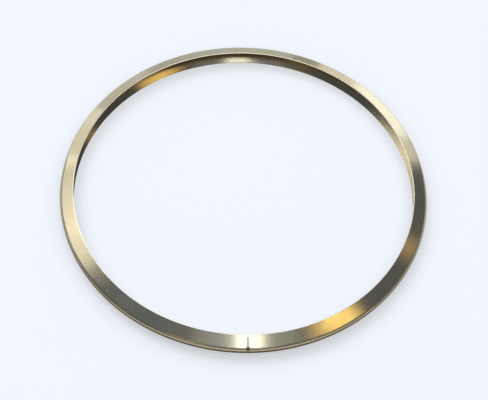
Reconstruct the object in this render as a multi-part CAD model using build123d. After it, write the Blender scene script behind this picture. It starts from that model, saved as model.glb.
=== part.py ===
from build123d import *
import os
from math import degrees

# Exhaust seal ring of a turbocharger joint. One metal strip is rolled to a V section with a round
# nose on the outside and a mouth that opens towards the bore, bent to a hoop, and butt-welded where
# its ends meet. The legs are equal, but the V is tipped a little, so the upper leg is the flatter one
# and reaches further in. The joint's flanges press on the two lips and spring the V shut.
# Millimetres. The ring lies flat: its axis is Z, z = 0 is the lower lip, and the weld is at -Y.

# Hoop and section
outer_diameter = 105.0  # across the nose
nose_radius = 1.25  # outside of the bend
leg_length = 3.36  # from the round of the nose to the lip
mouth_angle = 56.0  # between the legs, before the joint is clamped
section_tilt = 4.5  # degrees by which the mouth points down

# Strip
strip_thickness = 0.30
edge_chamfer = 0.06  # takes the burr off the slit edges' outside corners

# Butt weld
bead_width = 0.50  # along the hoop
bead_height = 0.04  # above the strip
bead_to_lip = 0.45  # the bead stops this far short of each lip
crater_radius = 0.70  # ball that fits the crater where the weld ended
crater_depth = 0.20
crater_bearing = 46.5  # degrees up from the middle of the nose

# The section is drawn round the nose's centre, with x out along the V's middle line. Each leg is
# straight and leaves the nose at a tangent. Bearings are in degrees, up from the middle line.
bend_bearing = 90 - mouth_angle / 2
leg_outward = Vector(1, 0).rotate(Axis.Z, bend_bearing)
lip_to_nose = Vector(1, 0).rotate(Axis.Z, bend_bearing - 90)
lip = leg_outward * nose_radius - lip_to_nose * leg_length


def leg_point(depth, past_lip):
    """Point of the upper leg, this deep below its outside and this far on from the lip, to the nose."""
    return lip - leg_outward * depth + lip_to_nose * past_lip


def opposite(point):
    """The same point of the lower leg."""
    return Vector(point.X, -point.Y)


def in_weld_plane(shape):
    """Tip the section, put the lower lip at z = 0 and stand it in the plane of the weld."""
    nose_height = -opposite(lip).rotate(Axis.Z, section_tilt).Y
    nose_centre = (0, nose_radius - outer_diameter / 2, nose_height)
    weld_plane = Plane(origin=nose_centre, x_dir=(0, -1, 0), z_dir=(-1, 0, 0))
    return weld_plane * (Rot(0, 0, section_tilt) * shape)


def strip_band(depth, thickness, past_lip):
    """Face that follows the strip in section from leg to leg, with its outside at this depth."""
    levels = [depth, depth + thickness]
    ends = [leg_point(level, past_lip) for level in levels]
    outline = [Line(ends[0], ends[1]), Line(opposite(ends[0]), opposite(ends[1]))]
    for level, end in zip(levels, ends):
        nose = CenterArc((0, 0), nose_radius - level, -bend_bearing, 2 * bend_bearing)
        outline += [nose, Line(nose @ 1, end), Line(nose @ 0, opposite(end))]
    return make_face(outline)


def strip_hoop():
    """The rolled strip, closed to a hoop. Its slit edges, chamfered outside, end just past the lips."""
    section = strip_band(0, strip_thickness, -edge_chamfer)
    corners = section.vertices().sort_by(Axis.Y)
    return revolve(in_weld_plane(chamfer([corners[0], corners[-1]], edge_chamfer)), Axis.Z)


def weld_bead():
    """Low bead on the outside of the butt joint, rooted halfway into the strip."""
    section = strip_band(-bead_height, bead_height + strip_thickness / 2, bead_to_lip)
    arc = degrees(2 * bead_width / outer_diameter)
    start = Rot(0, 0, -arc / 2) * in_weld_plane(section)
    return revolve(start, Axis.Z, arc)


def weld_crater():
    """Ball that cuts the crater into the nose, at the end of the weld."""
    reach = nose_radius + crater_radius - crater_depth
    centre = Vector(reach, 0).rotate(Axis.Z, crater_bearing)
    return in_weld_plane(Pos(centre.X, centre.Y) * Sphere(crater_radius))


seal_ring = strip_hoop() + weld_bead() - weld_crater()

os.makedirs("parts", exist_ok=True)
export_step(seal_ring, "parts/seal_ring.step")
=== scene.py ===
"""Seal ring of a turbocharger joint: one strip of straw-coloured stainless steel, on a pale table.

The ring is rolled to a V section with a round nose on the outside, bent to a hoop and butt-welded. Here it is
modelled again as one fine mesh with its weld, and lit by the soft lights of a small studio.
"""

import logging
from dataclasses import dataclass, field
from enum import Enum
from math import atan2, cos, exp, hypot, pi, radians, sin, tan

import bmesh
import bpy
from mathutils import Matrix, Vector


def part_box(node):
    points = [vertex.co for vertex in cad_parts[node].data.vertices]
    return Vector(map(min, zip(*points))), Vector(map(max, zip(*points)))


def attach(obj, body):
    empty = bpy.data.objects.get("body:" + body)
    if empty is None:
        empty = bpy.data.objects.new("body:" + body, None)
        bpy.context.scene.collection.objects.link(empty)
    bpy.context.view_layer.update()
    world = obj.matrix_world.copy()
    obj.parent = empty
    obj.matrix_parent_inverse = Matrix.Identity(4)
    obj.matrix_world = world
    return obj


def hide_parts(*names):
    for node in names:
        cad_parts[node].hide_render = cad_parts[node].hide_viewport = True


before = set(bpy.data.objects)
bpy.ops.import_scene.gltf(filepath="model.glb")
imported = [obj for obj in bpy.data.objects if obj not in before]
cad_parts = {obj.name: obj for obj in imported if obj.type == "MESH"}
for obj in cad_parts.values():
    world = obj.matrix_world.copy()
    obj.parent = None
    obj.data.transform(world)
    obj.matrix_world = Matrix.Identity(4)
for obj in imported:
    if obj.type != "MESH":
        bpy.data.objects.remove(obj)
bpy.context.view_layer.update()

logging.basicConfig(level=logging.INFO, format="%(message)s")
log = logging.getLogger("seal_ring")

MM = 0.001
UP = Vector((0.0, 0.0, 1.0))
CENTRE = (0.0, 0.0, 0.0)
WHITE = (1.0, 1.0, 1.0, 1.0)


def linear_colour(hex_code: str) -> tuple[float, float, float, float]:
    """Turn an sRGB hex colour into the linear colour that shaders and lamps take.

    Args:
        hex_code: Six hex digits, such as "F2F5FA".

    Returns:
        Linear red, green and blue, and an alpha of 1.
    """
    channels = [int(hex_code[place : place + 2], 16) / 255 for place in (0, 2, 4)]
    linear = [c / 12.92 if c <= 0.04045 else ((c + 0.055) / 1.055) ** 2.4 for c in channels]
    return (*linear, 1.0)


def add_node(tree: bpy.types.NodeTree, kind: str, links: dict | None = None, **settings) -> bpy.types.Node:
    """Add a node, set its properties and inputs, and link what feeds it.

    Args:
        tree: Node tree that the node joins.
        kind: The node's type name.
        links: Input name or number to the output socket that feeds it.
        **settings: Node properties by name, with "inputs" as a dict of input values.

    Returns:
        The new node.
    """
    node = tree.nodes.new(kind)
    values = settings.pop("inputs", {})
    for name, value in settings.items():
        setattr(node, name, value)
    for name, value in values.items():
        node.inputs[name].default_value = value
    for name, source in (links or {}).items():
        tree.links.new(source, node.inputs[name])
    return node


def direction(azimuth: float, elevation: float) -> Vector:
    """Unit vector at an azimuth from +X towards +Y and an elevation above the table, both in degrees."""
    az, el = radians(azimuth), radians(elevation)
    return Vector((cos(el) * cos(az), cos(el) * sin(az), sin(el)))


def clamp(share: float) -> float:
    """Keep a share between 0 and 1."""
    return min(1.0, max(0.0, share))


class Mark(Enum):
    """What is marked on the ring's vertices for the material to show: the weld, a painted shade and a painted
    highlight.
    """

    WELD = "weld"
    # painted shade inside the fold and under the nose
    PAINTED_SHADE = "painted_shade"
    # painted highlight on the slit edges
    CUT = "edge_highlight"


@dataclass(frozen=True)
class RolledSteel:
    """Stainless strip, cold rolled and aged to a pale straw by heat.

    To the eye it is a soft mirror. Lamps show in it as bands with fairly sharp ends, drawn out across the
    strip, because the rolling marks run along it. The oxide film gives the straw tint, a little deeper in
    some places than in others. Inside the fold and under the nose a painted shade darkens it to brown, also
    in its edge tint, so that it stays dark at a grazing angle, where metal usually turns white. The weld is a
    dull grey, and the slit edges are painted a paler cream, as a painted highlight.
    """

    name: str = "rolled_stainless_straw"
    straw: str = "E4D8B8"
    deep_straw: str = "DCCDA4"
    weld_grey: str = "4C4850"
    # painted shade: the brown of the fold's inside and the nose's underside, in colour and edge tint
    brown: str = "604E34"
    # painted highlight: the pale cream of the slit edges
    edge_highlight: str = "FFF2D8"
    roughness: float = 0.20
    roughness_spread: float = 0.03  # rougher by this in the deep straw, and smoother in the pale
    weld_roughness: float = 0.25  # added where the weld is grey
    lengthwise_drag: float = 0.85  # how much more the rolling marks blur a lamp across the strip
    drag_turn: float = 0.25  # of a full turn, from round the hoop to across the strip
    mark_width: float = 0.12 * MM  # real rolling marks are a tenth of this, too fine to show
    mark_length: float = 14.0 * MM
    mark_depth: float = 0.02 * MM
    mark_strength: float = 0.06  # share of that depth that shows, as a faint grain
    patch_size: float = 9.0 * MM
    patch_range: tuple[float, float] = (0.3, 0.7)  # noise values between which the roughness changes

    def rolling_marks(self, tree: bpy.types.NodeTree, place: bpy.types.NodeSocket) -> bpy.types.NodeSocket:
        """Draw the fine marks that run along the strip.

        Args:
            tree: The material's node tree.
            place: Object coordinates.

        Returns:
            The marks' height, from 0 to 1.
        """
        axes = add_node(tree, "ShaderNodeSeparateXYZ", {0: place}).outputs
        flat = add_node(tree, "ShaderNodeCombineXYZ", {"X": axes["X"], "Y": axes["Y"]}).outputs[0]
        radius = add_node(tree, "ShaderNodeVectorMath", {0: flat}, operation="LENGTH").outputs["Value"]
        widths = (
            (radius, self.mark_width),
            (axes["Z"], self.mark_width),
            (axes["X"], self.mark_length),
            (axes["Y"], self.mark_length),
        )
        scaled = [
            add_node(tree, "ShaderNodeMath", {0: way}, operation="MULTIPLY", inputs={1: 1 / width}).outputs[0]
            for way, width in widths
        ]
        vector = add_node(tree, "ShaderNodeCombineXYZ", dict(zip("XYZ", scaled))).outputs[0]
        marks = add_node(
            tree,
            "ShaderNodeTexNoise",
            {"Vector": vector, "W": scaled[3]},
            noise_dimensions="4D",
            inputs={"Scale": 1.0, "Detail": 2.0, "Roughness": 0.5},
        )
        return marks.outputs["Fac"]

    def material(self) -> bpy.types.Material:
        """Build the node material.

        Returns:
            The material, with its patterns on the object's own coordinates and its marks on the vertices.
        """
        made = bpy.data.materials.new(self.name)
        made.use_nodes = True
        tree = made.node_tree
        tree.nodes.clear()
        place = add_node(tree, "ShaderNodeTexCoord").outputs["Object"]
        marks = self.rolling_marks(tree, place)
        patches = add_node(
            tree,
            "ShaderNodeTexNoise",
            {"Vector": place},
            inputs={"Scale": 1 / self.patch_size, "Detail": 3.0, "Roughness": 0.55},
        ).outputs["Fac"]
        colour = add_node(
            tree,
            "ShaderNodeMix",
            {"Factor": patches},
            data_type="RGBA",
            inputs={"A": linear_colour(self.straw), "B": linear_colour(self.deep_straw)},
        ).outputs["Result"]
        share: dict[Mark, bpy.types.NodeSocket] = {}
        for mark in Mark:
            share[mark] = add_node(tree, "ShaderNodeAttribute", attribute_name=mark.value).outputs["Fac"]
        # the weld's own grey, the painted shade's brown and the painted highlight's cream
        for mark, tint in ((Mark.WELD, self.weld_grey), (Mark.PAINTED_SHADE, self.brown), (Mark.CUT, self.edge_highlight)):
            colour = add_node(
                tree,
                "ShaderNodeMix",
                {"Factor": share[mark], "A": colour},
                data_type="RGBA",
                inputs={"B": linear_colour(tint)},
            ).outputs["Result"]
        # painted shade: the same brown tints the edge reflection, so the shaded parts stay dark at a grazing
        # angle
        glancing = add_node(
            tree,
            "ShaderNodeMix",
            {"Factor": share[Mark.PAINTED_SHADE]},
            data_type="RGBA",
            inputs={"A": WHITE, "B": linear_colour(self.brown)},
        )
        satin = add_node(
            tree,
            "ShaderNodeMapRange",
            {"Value": patches},
            inputs={
                "From Min": self.patch_range[0],
                "From Max": self.patch_range[1],
                "To Min": self.roughness - self.roughness_spread,
                "To Max": self.roughness + self.roughness_spread,
            },
        )
        rough = add_node(
            tree,
            "ShaderNodeMath",
            {0: share[Mark.WELD], 2: satin.outputs["Result"]},
            operation="MULTIPLY_ADD",
            inputs={1: self.weld_roughness},
        )
        bump = add_node(
            tree,
            "ShaderNodeBump",
            {"Height": marks},
            inputs={"Strength": self.mark_strength, "Distance": self.mark_depth},
        )
        grain = add_node(tree, "ShaderNodeTangent", direction_type="RADIAL", axis="Z")
        steel = add_node(
            tree,
            "ShaderNodeBsdfPrincipled",
            {
                "Base Color": colour,
                "Specular Tint": glancing.outputs["Result"],
                "Roughness": rough.outputs[0],
                "Normal": bump.outputs["Normal"],
                "Tangent": grain.outputs["Tangent"],
            },
            inputs={
                "Metallic": 1.0,
                "Anisotropic": self.lengthwise_drag,
                "Anisotropic Rotation": self.drag_turn,
            },
        )
        add_node(tree, "ShaderNodeOutputMaterial", {"Surface": steel.outputs[0]})
        return made


@dataclass(frozen=True)
class TableBoard:
    """Matt painted board, a cool white that shows only soft shade."""

    name: str = "painted_board_white"
    colour: str = "F2F5FA"
    lit: float = 0.42  # share of its white that the lamps bring out
    glow: float = 0.765  # share that it shows by itself, so that the shade stays pale
    shade: float = 0.34  # how much of that share is lost right under the ring
    shade_reach: float = 6.0 * MM  # how far from the ring it is dimmed

    def material(self) -> bpy.types.Material:
        """Build the node material.

        Returns:
            The material.
        """
        made = bpy.data.materials.new(self.name)
        made.use_nodes = True
        tree = made.node_tree
        tree.nodes.clear()
        white = linear_colour(self.colour)
        lit = tuple(channel * self.lit for channel in white[:3]) + (1.0,)
        board = add_node(tree, "ShaderNodeBsdfDiffuse", inputs={"Color": lit, "Roughness": 0.0})
        ray = add_node(tree, "ShaderNodeLightPath")
        direct = add_node(
            tree,
            "ShaderNodeMath",
            {0: ray.outputs["Is Camera Ray"], 1: ray.outputs["Is Glossy Ray"]},
            operation="ADD",
        )
        seen = add_node(
            tree,
            "ShaderNodeMath",
            {0: direct.outputs[0], 1: ray.outputs["Is Transmission Ray"]},
            operation="ADD",
            use_clamp=True,
        )
        open_sky = add_node(
            tree,
            "ShaderNodeAmbientOcclusion",
            samples=8,
            inputs={"Color": WHITE, "Distance": self.shade_reach},
        )
        dimmed = add_node(
            tree,
            "ShaderNodeMapRange",
            {"Value": open_sky.outputs["AO"]},
            inputs={"To Min": self.glow * (1 - self.shade), "To Max": self.glow},
        )
        shown = add_node(
            tree, "ShaderNodeMath", {0: seen.outputs[0], 1: dimmed.outputs["Result"]}, operation="MULTIPLY"
        )
        glow = add_node(tree, "ShaderNodeEmission", {"Strength": shown.outputs[0]}, inputs={"Color": white})
        both = add_node(tree, "ShaderNodeAddShader", {0: board.outputs[0], 1: glow.outputs[0]})
        add_node(tree, "ShaderNodeOutputMaterial", {"Surface": both.outputs[0]})
        return made


@dataclass
class StripSection:
    """The strip across its length: two straight legs that leave a round nose at a tangent.

    It is drawn round the nose's centre with the V's middle line level, as (outward, up) pairs, and tipped
    after that. A way along it is measured on its outside, from the middle of the nose.
    """

    outer_radius: float
    nose_radius: float
    leg_length: float  # to the lip, where the slit edge begins
    mouth_angle: float
    tilt: float  # degrees by which the mouth points down
    slit_past_lip: float
    bend: float = field(init=False)  # angle from the middle line to where a leg leaves the nose
    leg_outward: Vector = field(init=False)  # square to the upper leg
    lip_to_nose: Vector = field(init=False)  # down the upper leg
    whole_leg: float = field(init=False)
    slit_end: Vector = field(init=False)
    nose_height: float = field(init=False)
    nose_distance: float = field(init=False)
    leg_end: float = field(init=False)  # way to the slit edge

    def __post_init__(self) -> None:
        """Work out the legs' directions, their ends and the nose's place."""
        self.bend = radians(90 - self.mouth_angle / 2)
        self.leg_outward = Vector((cos(self.bend), sin(self.bend)))
        self.lip_to_nose = Vector((sin(self.bend), -cos(self.bend)))
        self.whole_leg = self.leg_length + self.slit_past_lip
        self.slit_end = self.leg_outward * self.nose_radius - self.lip_to_nose * self.whole_leg
        lip = self.leg_outward * self.nose_radius - self.lip_to_nose * self.leg_length
        tilt = radians(self.tilt)
        self.nose_height = lip.y * cos(tilt) - lip.x * sin(tilt)
        self.nose_distance = self.outer_radius - self.nose_radius
        self.leg_end = self.bend * self.nose_radius + self.whole_leg

    def tip(self) -> Matrix:
        """Turn the section's own frame into the ring's X-Z plane: tip it and carry it out to the hoop."""
        carry = Matrix.Translation((self.nose_distance, 0.0, self.nose_height))
        return carry @ Matrix.Rotation(radians(-self.tilt), 4, "Y")

    def locate(self, radius: float, height: float) -> tuple[float, float]:
        """Find a point of the strip by its way along the section and its depth.

        Args:
            radius: Distance of the point from the ring's axis.
            height: Height of the point above the table.

        Returns:
            The way from the middle of the nose, positive up the upper leg, and the depth below the outside.
        """
        level = self.tip().inverted() @ Vector((radius, 0.0, height))
        side = 1.0 if level.z >= 0 else -1.0
        from_centre = Vector((level.x, abs(level.z)))
        past_bend = -from_centre.dot(self.lip_to_nose)
        if past_bend > 0:
            way = self.bend * self.nose_radius + past_bend
            return side * way, self.nose_radius - from_centre.dot(self.leg_outward)
        way = atan2(from_centre.y, from_centre.x) * self.nose_radius
        return side * way, self.nose_radius - from_centre.length


@dataclass
class ButtWeld:
    """The weld where the strip's ends meet.

    It is a low bead with a crater where it ended, and forks at the upper lip.
    """

    azimuth: float = -90.0
    zone: float = 3.6 * MM  # stretch of the hoop with the fine mesh
    zone_steps: int = 90
    bead_width: float = 0.50 * MM
    bead_height: float = 0.015 * MM
    bead_to_lip: float = 0.45 * MM
    bead_fade: float = 0.30 * MM  # over which its ends sink into the strip
    crater_width: float = 0.80 * MM
    crater_depth: float = 0.20 * MM
    crater_steepness: float = 1.6
    crater_bearing: float = 46.5  # degrees up from the middle of the nose
    fork_length: float = 1.2 * MM
    fork_spread: float = 0.42 * MM  # of each arm from the middle, at the lip
    line_width: float = 0.16 * MM
    line_grey: float = 0.15  # how grey the joint's line is, where 1 is the weld's full grey
    crater_grey: float = 1.3  # past 1, so that the middle of the crater is grey all over
    crater_grey_reach: float = 0.336 * MM

    def from_crater(self, section: StripSection, side: float, way: float) -> float:
        """Distance on the strip's outside from the middle of the crater, with side and way as in bump."""
        return hypot(side, way - radians(self.crater_bearing) * section.nose_radius)

    def bump(self, section: StripSection, side: float, way: float) -> float:
        """Height of the weld above the strip's outside.

        Args:
            section: The strip's section.
            side: Distance along the hoop from the joint.
            way: Way along the section from the middle of the nose.

        Returns:
            The height, below zero in the crater.
        """
        crown = clamp(1 - (2 * side / self.bead_width) ** 2) ** 2
        fade = clamp((section.leg_end - self.bead_to_lip - abs(way)) / self.bead_fade)
        reach = self.from_crater(section, side, way) / (self.crater_width / 2)
        return self.bead_height * crown * fade - self.crater_depth * exp(-self.crater_steepness * reach**2)

    def heat(self, section: StripSection, side: float, way: float) -> float:
        """How far the weld's grey shows at a place, from 0 to 1.

        Args:
            section: The strip's section.
            side: Distance along the hoop from the joint.
            way: Way along the section from the middle of the nose.

        Returns:
            The share of grey.
        """
        from_lip = section.leg_end - way
        arm = self.fork_spread * max(0.0, 1 - from_lip / self.fork_length)
        from_line = abs(abs(side) - arm)
        line = exp(-((from_line / self.line_width) ** 2))
        crater = exp(-((self.from_crater(section, side, way) / self.crater_grey_reach) ** 2))
        return clamp(self.line_grey * line + self.crater_grey * crater)


@dataclass
class SealRing:
    """The ring itself, spun from the strip's section and welded."""

    node: str = "seal_ring"
    nose_radius: float = 1.25 * MM
    leg_length: float = 3.36 * MM
    mouth_angle: float = 56.0
    section_tilt: float = 4.5
    thickness: float = 0.30 * MM
    slit_past_lip: float = 0.06 * MM  # as far as the solid ring's slit edge stands past its lip
    edge_round: float = 0.05 * MM
    edge_round_steps: int = 4
    edge_corner: float = 60.0  # degrees, and only the slit edges' corners turn by more
    leg_steps: int = 12
    nose_steps: int = 30
    hoop_steps: int = 420  # round the rest of the hoop, past the weld's zone
    merge_distance: float = 0.002 * MM
    shade_fade: float = 0.30 * MM  # over which the painted shade fades in from the slit edge, where the steel is still straw
    lower_fold_shade: float = 0.40  # how strong the painted shade on the lower leg's inside is, where the upper leg's is 1
    under_nose_shade_from: float = 0.83 * MM  # where the painted shade under the nose begins, up from the middle of the nose; it is full below that
    weld: ButtWeld = field(default_factory=ButtWeld)
    finish: RolledSteel = field(default_factory=RolledSteel)

    def section(self) -> StripSection:
        """Work out the strip's section, on the hoop that the solid ring's box gives.

        Returns:
            The section.
        """
        low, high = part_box(self.node)
        return StripSection(
            outer_radius=(high[0] - low[0]) / 2,
            nose_radius=self.nose_radius,
            leg_length=self.leg_length,
            mouth_angle=self.mouth_angle,
            tilt=self.section_tilt,
            slit_past_lip=self.slit_past_lip,
        )

    def outline(self, shape: bmesh.types.BMesh, section: StripSection) -> list:
        """Draw the outside of the section, from the upper slit edge round the nose to the lower one.

        Args:
            shape: Mesh that the line is drawn in, in its X-Z plane.
            section: The strip's section.

        Returns:
            The line's vertices and edges.
        """
        start = shape.verts.new((section.slit_end.x, 0.0, section.slit_end.y))
        run = section.lip_to_nose * section.whole_leg
        leg = bmesh.ops.extrude_vert_indiv(shape, verts=[start])
        bmesh.ops.translate(shape, verts=leg["verts"], vec=(run.x, 0.0, run.y))
        nose = bmesh.ops.spin(
            shape,
            geom=leg["verts"],
            cent=CENTRE,
            axis=(0.0, 1.0, 0.0),
            angle=2 * section.bend,
            steps=self.nose_steps,
        )
        bend_end = [part for part in nose["geom_last"] if isinstance(part, bmesh.types.BMVert)]
        other_leg = bmesh.ops.extrude_vert_indiv(shape, verts=bend_end)
        bmesh.ops.translate(shape, verts=other_leg["verts"], vec=(-run.x, 0.0, run.y))
        bmesh.ops.subdivide_edges(shape, edges=leg["edges"] + other_leg["edges"], cuts=self.leg_steps - 1)
        bmesh.ops.transform(shape, matrix=section.tip(), verts=shape.verts)
        return list(shape.verts) + list(shape.edges)

    def hoop(self, section: StripSection) -> bmesh.types.BMesh:
        """Spin the outline to a closed hoop, finely at the weld, and give it the strip's wall.

        Args:
            section: The strip's section.

        Returns:
            The hoop as a closed mesh.
        """
        shape = bmesh.new()
        line = self.outline(shape, section)
        zone_angle = self.weld.zone / section.outer_radius
        start = Matrix.Rotation(radians(self.weld.azimuth) - zone_angle / 2, 3, "Z")
        bmesh.ops.rotate(shape, cent=CENTRE, matrix=start, verts=shape.verts)
        around = {"cent": CENTRE, "axis": UP}
        fine = bmesh.ops.spin(shape, geom=line, angle=zone_angle, steps=self.weld.zone_steps, **around)
        rest_angle = 2 * pi - zone_angle
        bmesh.ops.spin(shape, geom=fine["geom_last"], angle=rest_angle, steps=self.hoop_steps, **around)
        bmesh.ops.remove_doubles(shape, verts=shape.verts, dist=self.merge_distance)
        bmesh.ops.recalc_face_normals(shape, faces=shape.faces)
        bmesh.ops.solidify(shape, geom=list(shape.faces), thickness=self.thickness)
        corner = radians(self.edge_corner)
        bmesh.ops.bevel(
            shape,
            geom=[edge for edge in shape.edges if edge.calc_face_angle(0.0) > corner],
            offset=self.edge_round,
            offset_type="OFFSET",
            segments=self.edge_round_steps,
            profile=0.5,
            affect="EDGES",
            material=-1,
            clamp_overlap=True,
        )
        return shape

    def add_weld(self, shape: bmesh.types.BMesh, section: StripSection) -> None:
        """Raise the bead, sink the crater and mark the weld's grey on the vertices of the outside.

        Args:
            shape: The hoop's mesh.
            section: The strip's section.
        """
        grey = shape.verts.layers.float.new(Mark.WELD.value)
        joint = direction(self.weld.azimuth, 0.0)
        along = UP.cross(joint)
        shape.normal_update()
        for vertex in shape.verts:
            side = vertex.co.dot(along)
            if vertex.co.dot(joint) < 0 or abs(side) > self.weld.zone / 2:
                continue
            way, depth = section.locate(hypot(vertex.co.x, vertex.co.y), vertex.co.z)
            if depth > self.thickness / 2:
                continue
            vertex[grey] = self.weld.heat(section, side, way)
            vertex.co += vertex.normal * self.weld.bump(section, side, way)

    def mark_shade_and_highlight(self, shape: bmesh.types.BMesh, section: StripSection) -> None:
        """Mark on the vertices the painted shade and the painted highlight.

        The painted shade is brown inside the fold and under the nose, and fades to straw near the slit edges,
        which get the painted highlight.

        Args:
            shape: The hoop's mesh.
            section: The strip's section.
        """
        painted_shade = shape.verts.layers.float.new(Mark.PAINTED_SHADE.value)
        edge_highlight = shape.verts.layers.float.new(Mark.CUT.value)
        for vertex in shape.verts:
            way, depth = section.locate(hypot(vertex.co.x, vertex.co.y), vertex.co.z)
            from_edge = section.leg_end - abs(way)
            # painted highlight on the rounded slit edges
            vertex[edge_highlight] = clamp(1 - from_edge / self.edge_round)
            cover = clamp(from_edge / self.shade_fade)
            # painted shade inside the fold, fullest on the upper leg
            if depth > self.thickness / 2:
                upper = clamp(0.5 + way / (2 * section.bend * section.nose_radius))
                vertex[painted_shade] = cover * (self.lower_fold_shade + (1 - self.lower_fold_shade) * upper)
            else:
                # painted shade under the nose and on the lower leg's outside
                below = clamp(1 - way / self.under_nose_shade_from)
                vertex[painted_shade] = cover * below**0.5

    def build(self) -> bpy.types.Object:
        """Make the ring, dress it and put it in the place of the solid one.

        Returns:
            The ring's object.
        """
        section = self.section()
        shape = self.hoop(section)
        self.add_weld(shape, section)
        # painted shade and painted highlight, marked on the vertices
        self.mark_shade_and_highlight(shape, section)
        mesh = bpy.data.meshes.new("ring_rolled")
        shape.to_mesh(mesh)
        shape.free()
        mesh.shade_smooth()
        mesh.materials.append(self.finish.material())
        ring = bpy.data.objects.new("ring_rolled", mesh)
        bpy.context.scene.collection.objects.link(ring)
        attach(ring, "root")
        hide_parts(self.node)
        log.info("%s: %d faces, mouth of %.1f degrees", ring.name, len(mesh.polygons), section.mouth_angle)
        return ring


@dataclass
class Table:
    """The pale board that the ring lies on."""

    half_width: float = 12.0
    finish: TableBoard = field(default_factory=TableBoard)

    def build(self) -> bpy.types.Object:
        """Make the board, a wide grid at the height of the ring's lower lip.

        Returns:
            The board's object.
        """
        shape = bmesh.new()
        bmesh.ops.create_grid(shape, x_segments=8, y_segments=8, size=self.half_width)
        mesh = bpy.data.meshes.new("table")
        shape.to_mesh(mesh)
        shape.free()
        mesh.materials.append(self.finish.material())
        table = bpy.data.objects.new("table", mesh)
        bpy.context.scene.collection.objects.link(table)
        log.info("%s: %.0f m across", table.name, 2 * self.half_width)
        return table


@dataclass(frozen=True)
class Softbox:
    """A lamp behind a square of cloth, placed by the direction in which the ring sees it."""

    name: str
    azimuth: float
    elevation: float
    width: float  # degrees, as the ring sees it
    height: float
    brightness: float  # 1 shows white in a mirror
    colour: str = "FFFFFF"
    distance: float = 3.0

    def build(self) -> bpy.types.Object:
        """Make the lamp, facing the ring.

        Returns:
            The lamp's object.
        """
        lamp = bpy.data.lights.new(self.name, "AREA")
        lamp.shape = "RECTANGLE"
        lamp.size = 2 * self.distance * tan(radians(self.width / 2))
        lamp.size_y = 2 * self.distance * tan(radians(self.height / 2))
        lamp.energy = self.brightness * pi * lamp.size * lamp.size_y
        lamp.color = linear_colour(self.colour)[:3]
        lamp_object = bpy.data.objects.new(self.name, lamp)
        towards = direction(self.azimuth, self.elevation)
        lamp_object.location = towards * self.distance
        lamp_object.rotation_euler = towards.to_track_quat("Z", "Y").to_euler()
        bpy.context.scene.collection.objects.link(lamp_object)
        return lamp_object


@dataclass
class Studio:
    """The lamps and the dim room round the table.

    A softbox is given by its name, its azimuth, elevation, width and height in degrees, its brightness and
    its colour.
    """

    room: str = "555B67"
    softboxes: tuple[Softbox, ...] = (
        Softbox("key", 95, 66, 36, 34, 1.9, "DCECFF"),
        Softbox("left_high", 130, 54, 28, 18, 3.4),
        Softbox("window_left", 151, 34, 34, 26, 0.85),
        Softbox("window_left_edge", 127.5, 18, 16, 21, 0.82),
        Softbox("window_left_far", 170, 46, 8, 18, 0.25),
        Softbox("window_right", 58, 11, 16, 21, 1.55, "EEF5FF"),
        Softbox("window_right_edge", 70, 7, 8, 14, 0.9),
        Softbox("window_right_far", 46.5, 20, 7, 18, 0.85),
        Softbox("wall_back", 102, 6, 46, 16, 0.43, "D4E2FF"),
        Softbox("wall_back_left", 113, 8, 15, 18, 0.27),
        Softbox("wall_back_high", 88, 31, 56, 24, 0.5, "FFF6E0"),
        Softbox("strip_front", 278, 73, 8, 20, 2.8, "F0F6FF"),
        Softbox("panel_front", 277, 73, 29, 20, 0.37, "DCE8FF"),
        Softbox("lamp_warm", 336, 59, 12.5, 16, 1.95, "FFDC86"),
        Softbox("lamp_warm_far", 17, 38, 6, 8, 0.75, "FFD27A"),
        Softbox("lamp_warm_left", 237, 50, 12, 8, 1.0, "FFD875"),
        Softbox("wall_front", 270, 19, 70, 14, 0.2),
        Softbox("horizon_front", 270, 4, 130, 16, 1.3),
        Softbox("sky_left", 222, 62, 50, 24, 0.05, "6CA0FF"),
    )

    def build(self) -> None:
        """Light the room and hang its lamps."""
        world = bpy.data.worlds.new("dim_room")
        bpy.context.scene.world = world
        world.use_nodes = True
        tree = world.node_tree
        tree.nodes.clear()
        room = linear_colour(self.room)
        air = add_node(tree, "ShaderNodeBackground", inputs={"Color": room, "Strength": 1.0})
        add_node(tree, "ShaderNodeOutputWorld", {"Surface": air.outputs[0]})
        for softbox in self.softboxes:
            softbox.build()
            log.info("%s: brightness %.2f", softbox.name, softbox.brightness)


@dataclass
class PhotoCamera:
    """The camera of the photograph, with an 80 mm lens, which looks down on the ring from the front."""

    lens: float = 80.0
    sensor_width: float = 36.0
    azimuth: float = -93.7
    elevation: float = 56.29
    distance: float = 309.2 * MM
    roll: float = 3.15
    aim: tuple[float, float, float] = (-0.12 * MM, -4.72 * MM, 2.86 * MM)
    nearest: float = 0.01
    furthest: float = 100.0

    def build(self) -> bpy.types.Object:
        """Set the camera up and make it the scene's own.

        Returns:
            The camera's object.
        """
        lens = bpy.data.cameras.new("photo_camera")
        lens.lens = self.lens
        lens.sensor_width = self.sensor_width
        lens.clip_start = self.nearest
        lens.clip_end = self.furthest
        camera = bpy.data.objects.new("photo_camera", lens)
        backward = direction(self.azimuth, self.elevation)
        camera.location = Vector(self.aim) + backward * self.distance
        level = backward.to_track_quat("Z", "Y").to_matrix().to_4x4()
        camera.rotation_euler = (level @ Matrix.Rotation(radians(self.roll), 4, "Z")).to_euler()
        bpy.context.scene.collection.objects.link(camera)
        bpy.context.scene.camera = camera
        bpy.context.scene.view_settings.view_transform = "Standard"
        return camera


def main() -> None:
    """Build the ring and its studio, and note the sizes."""
    SealRing().build()
    Table().build()
    Studio().build()
    PhotoCamera().build()


if __name__ == "__main__":
    main()
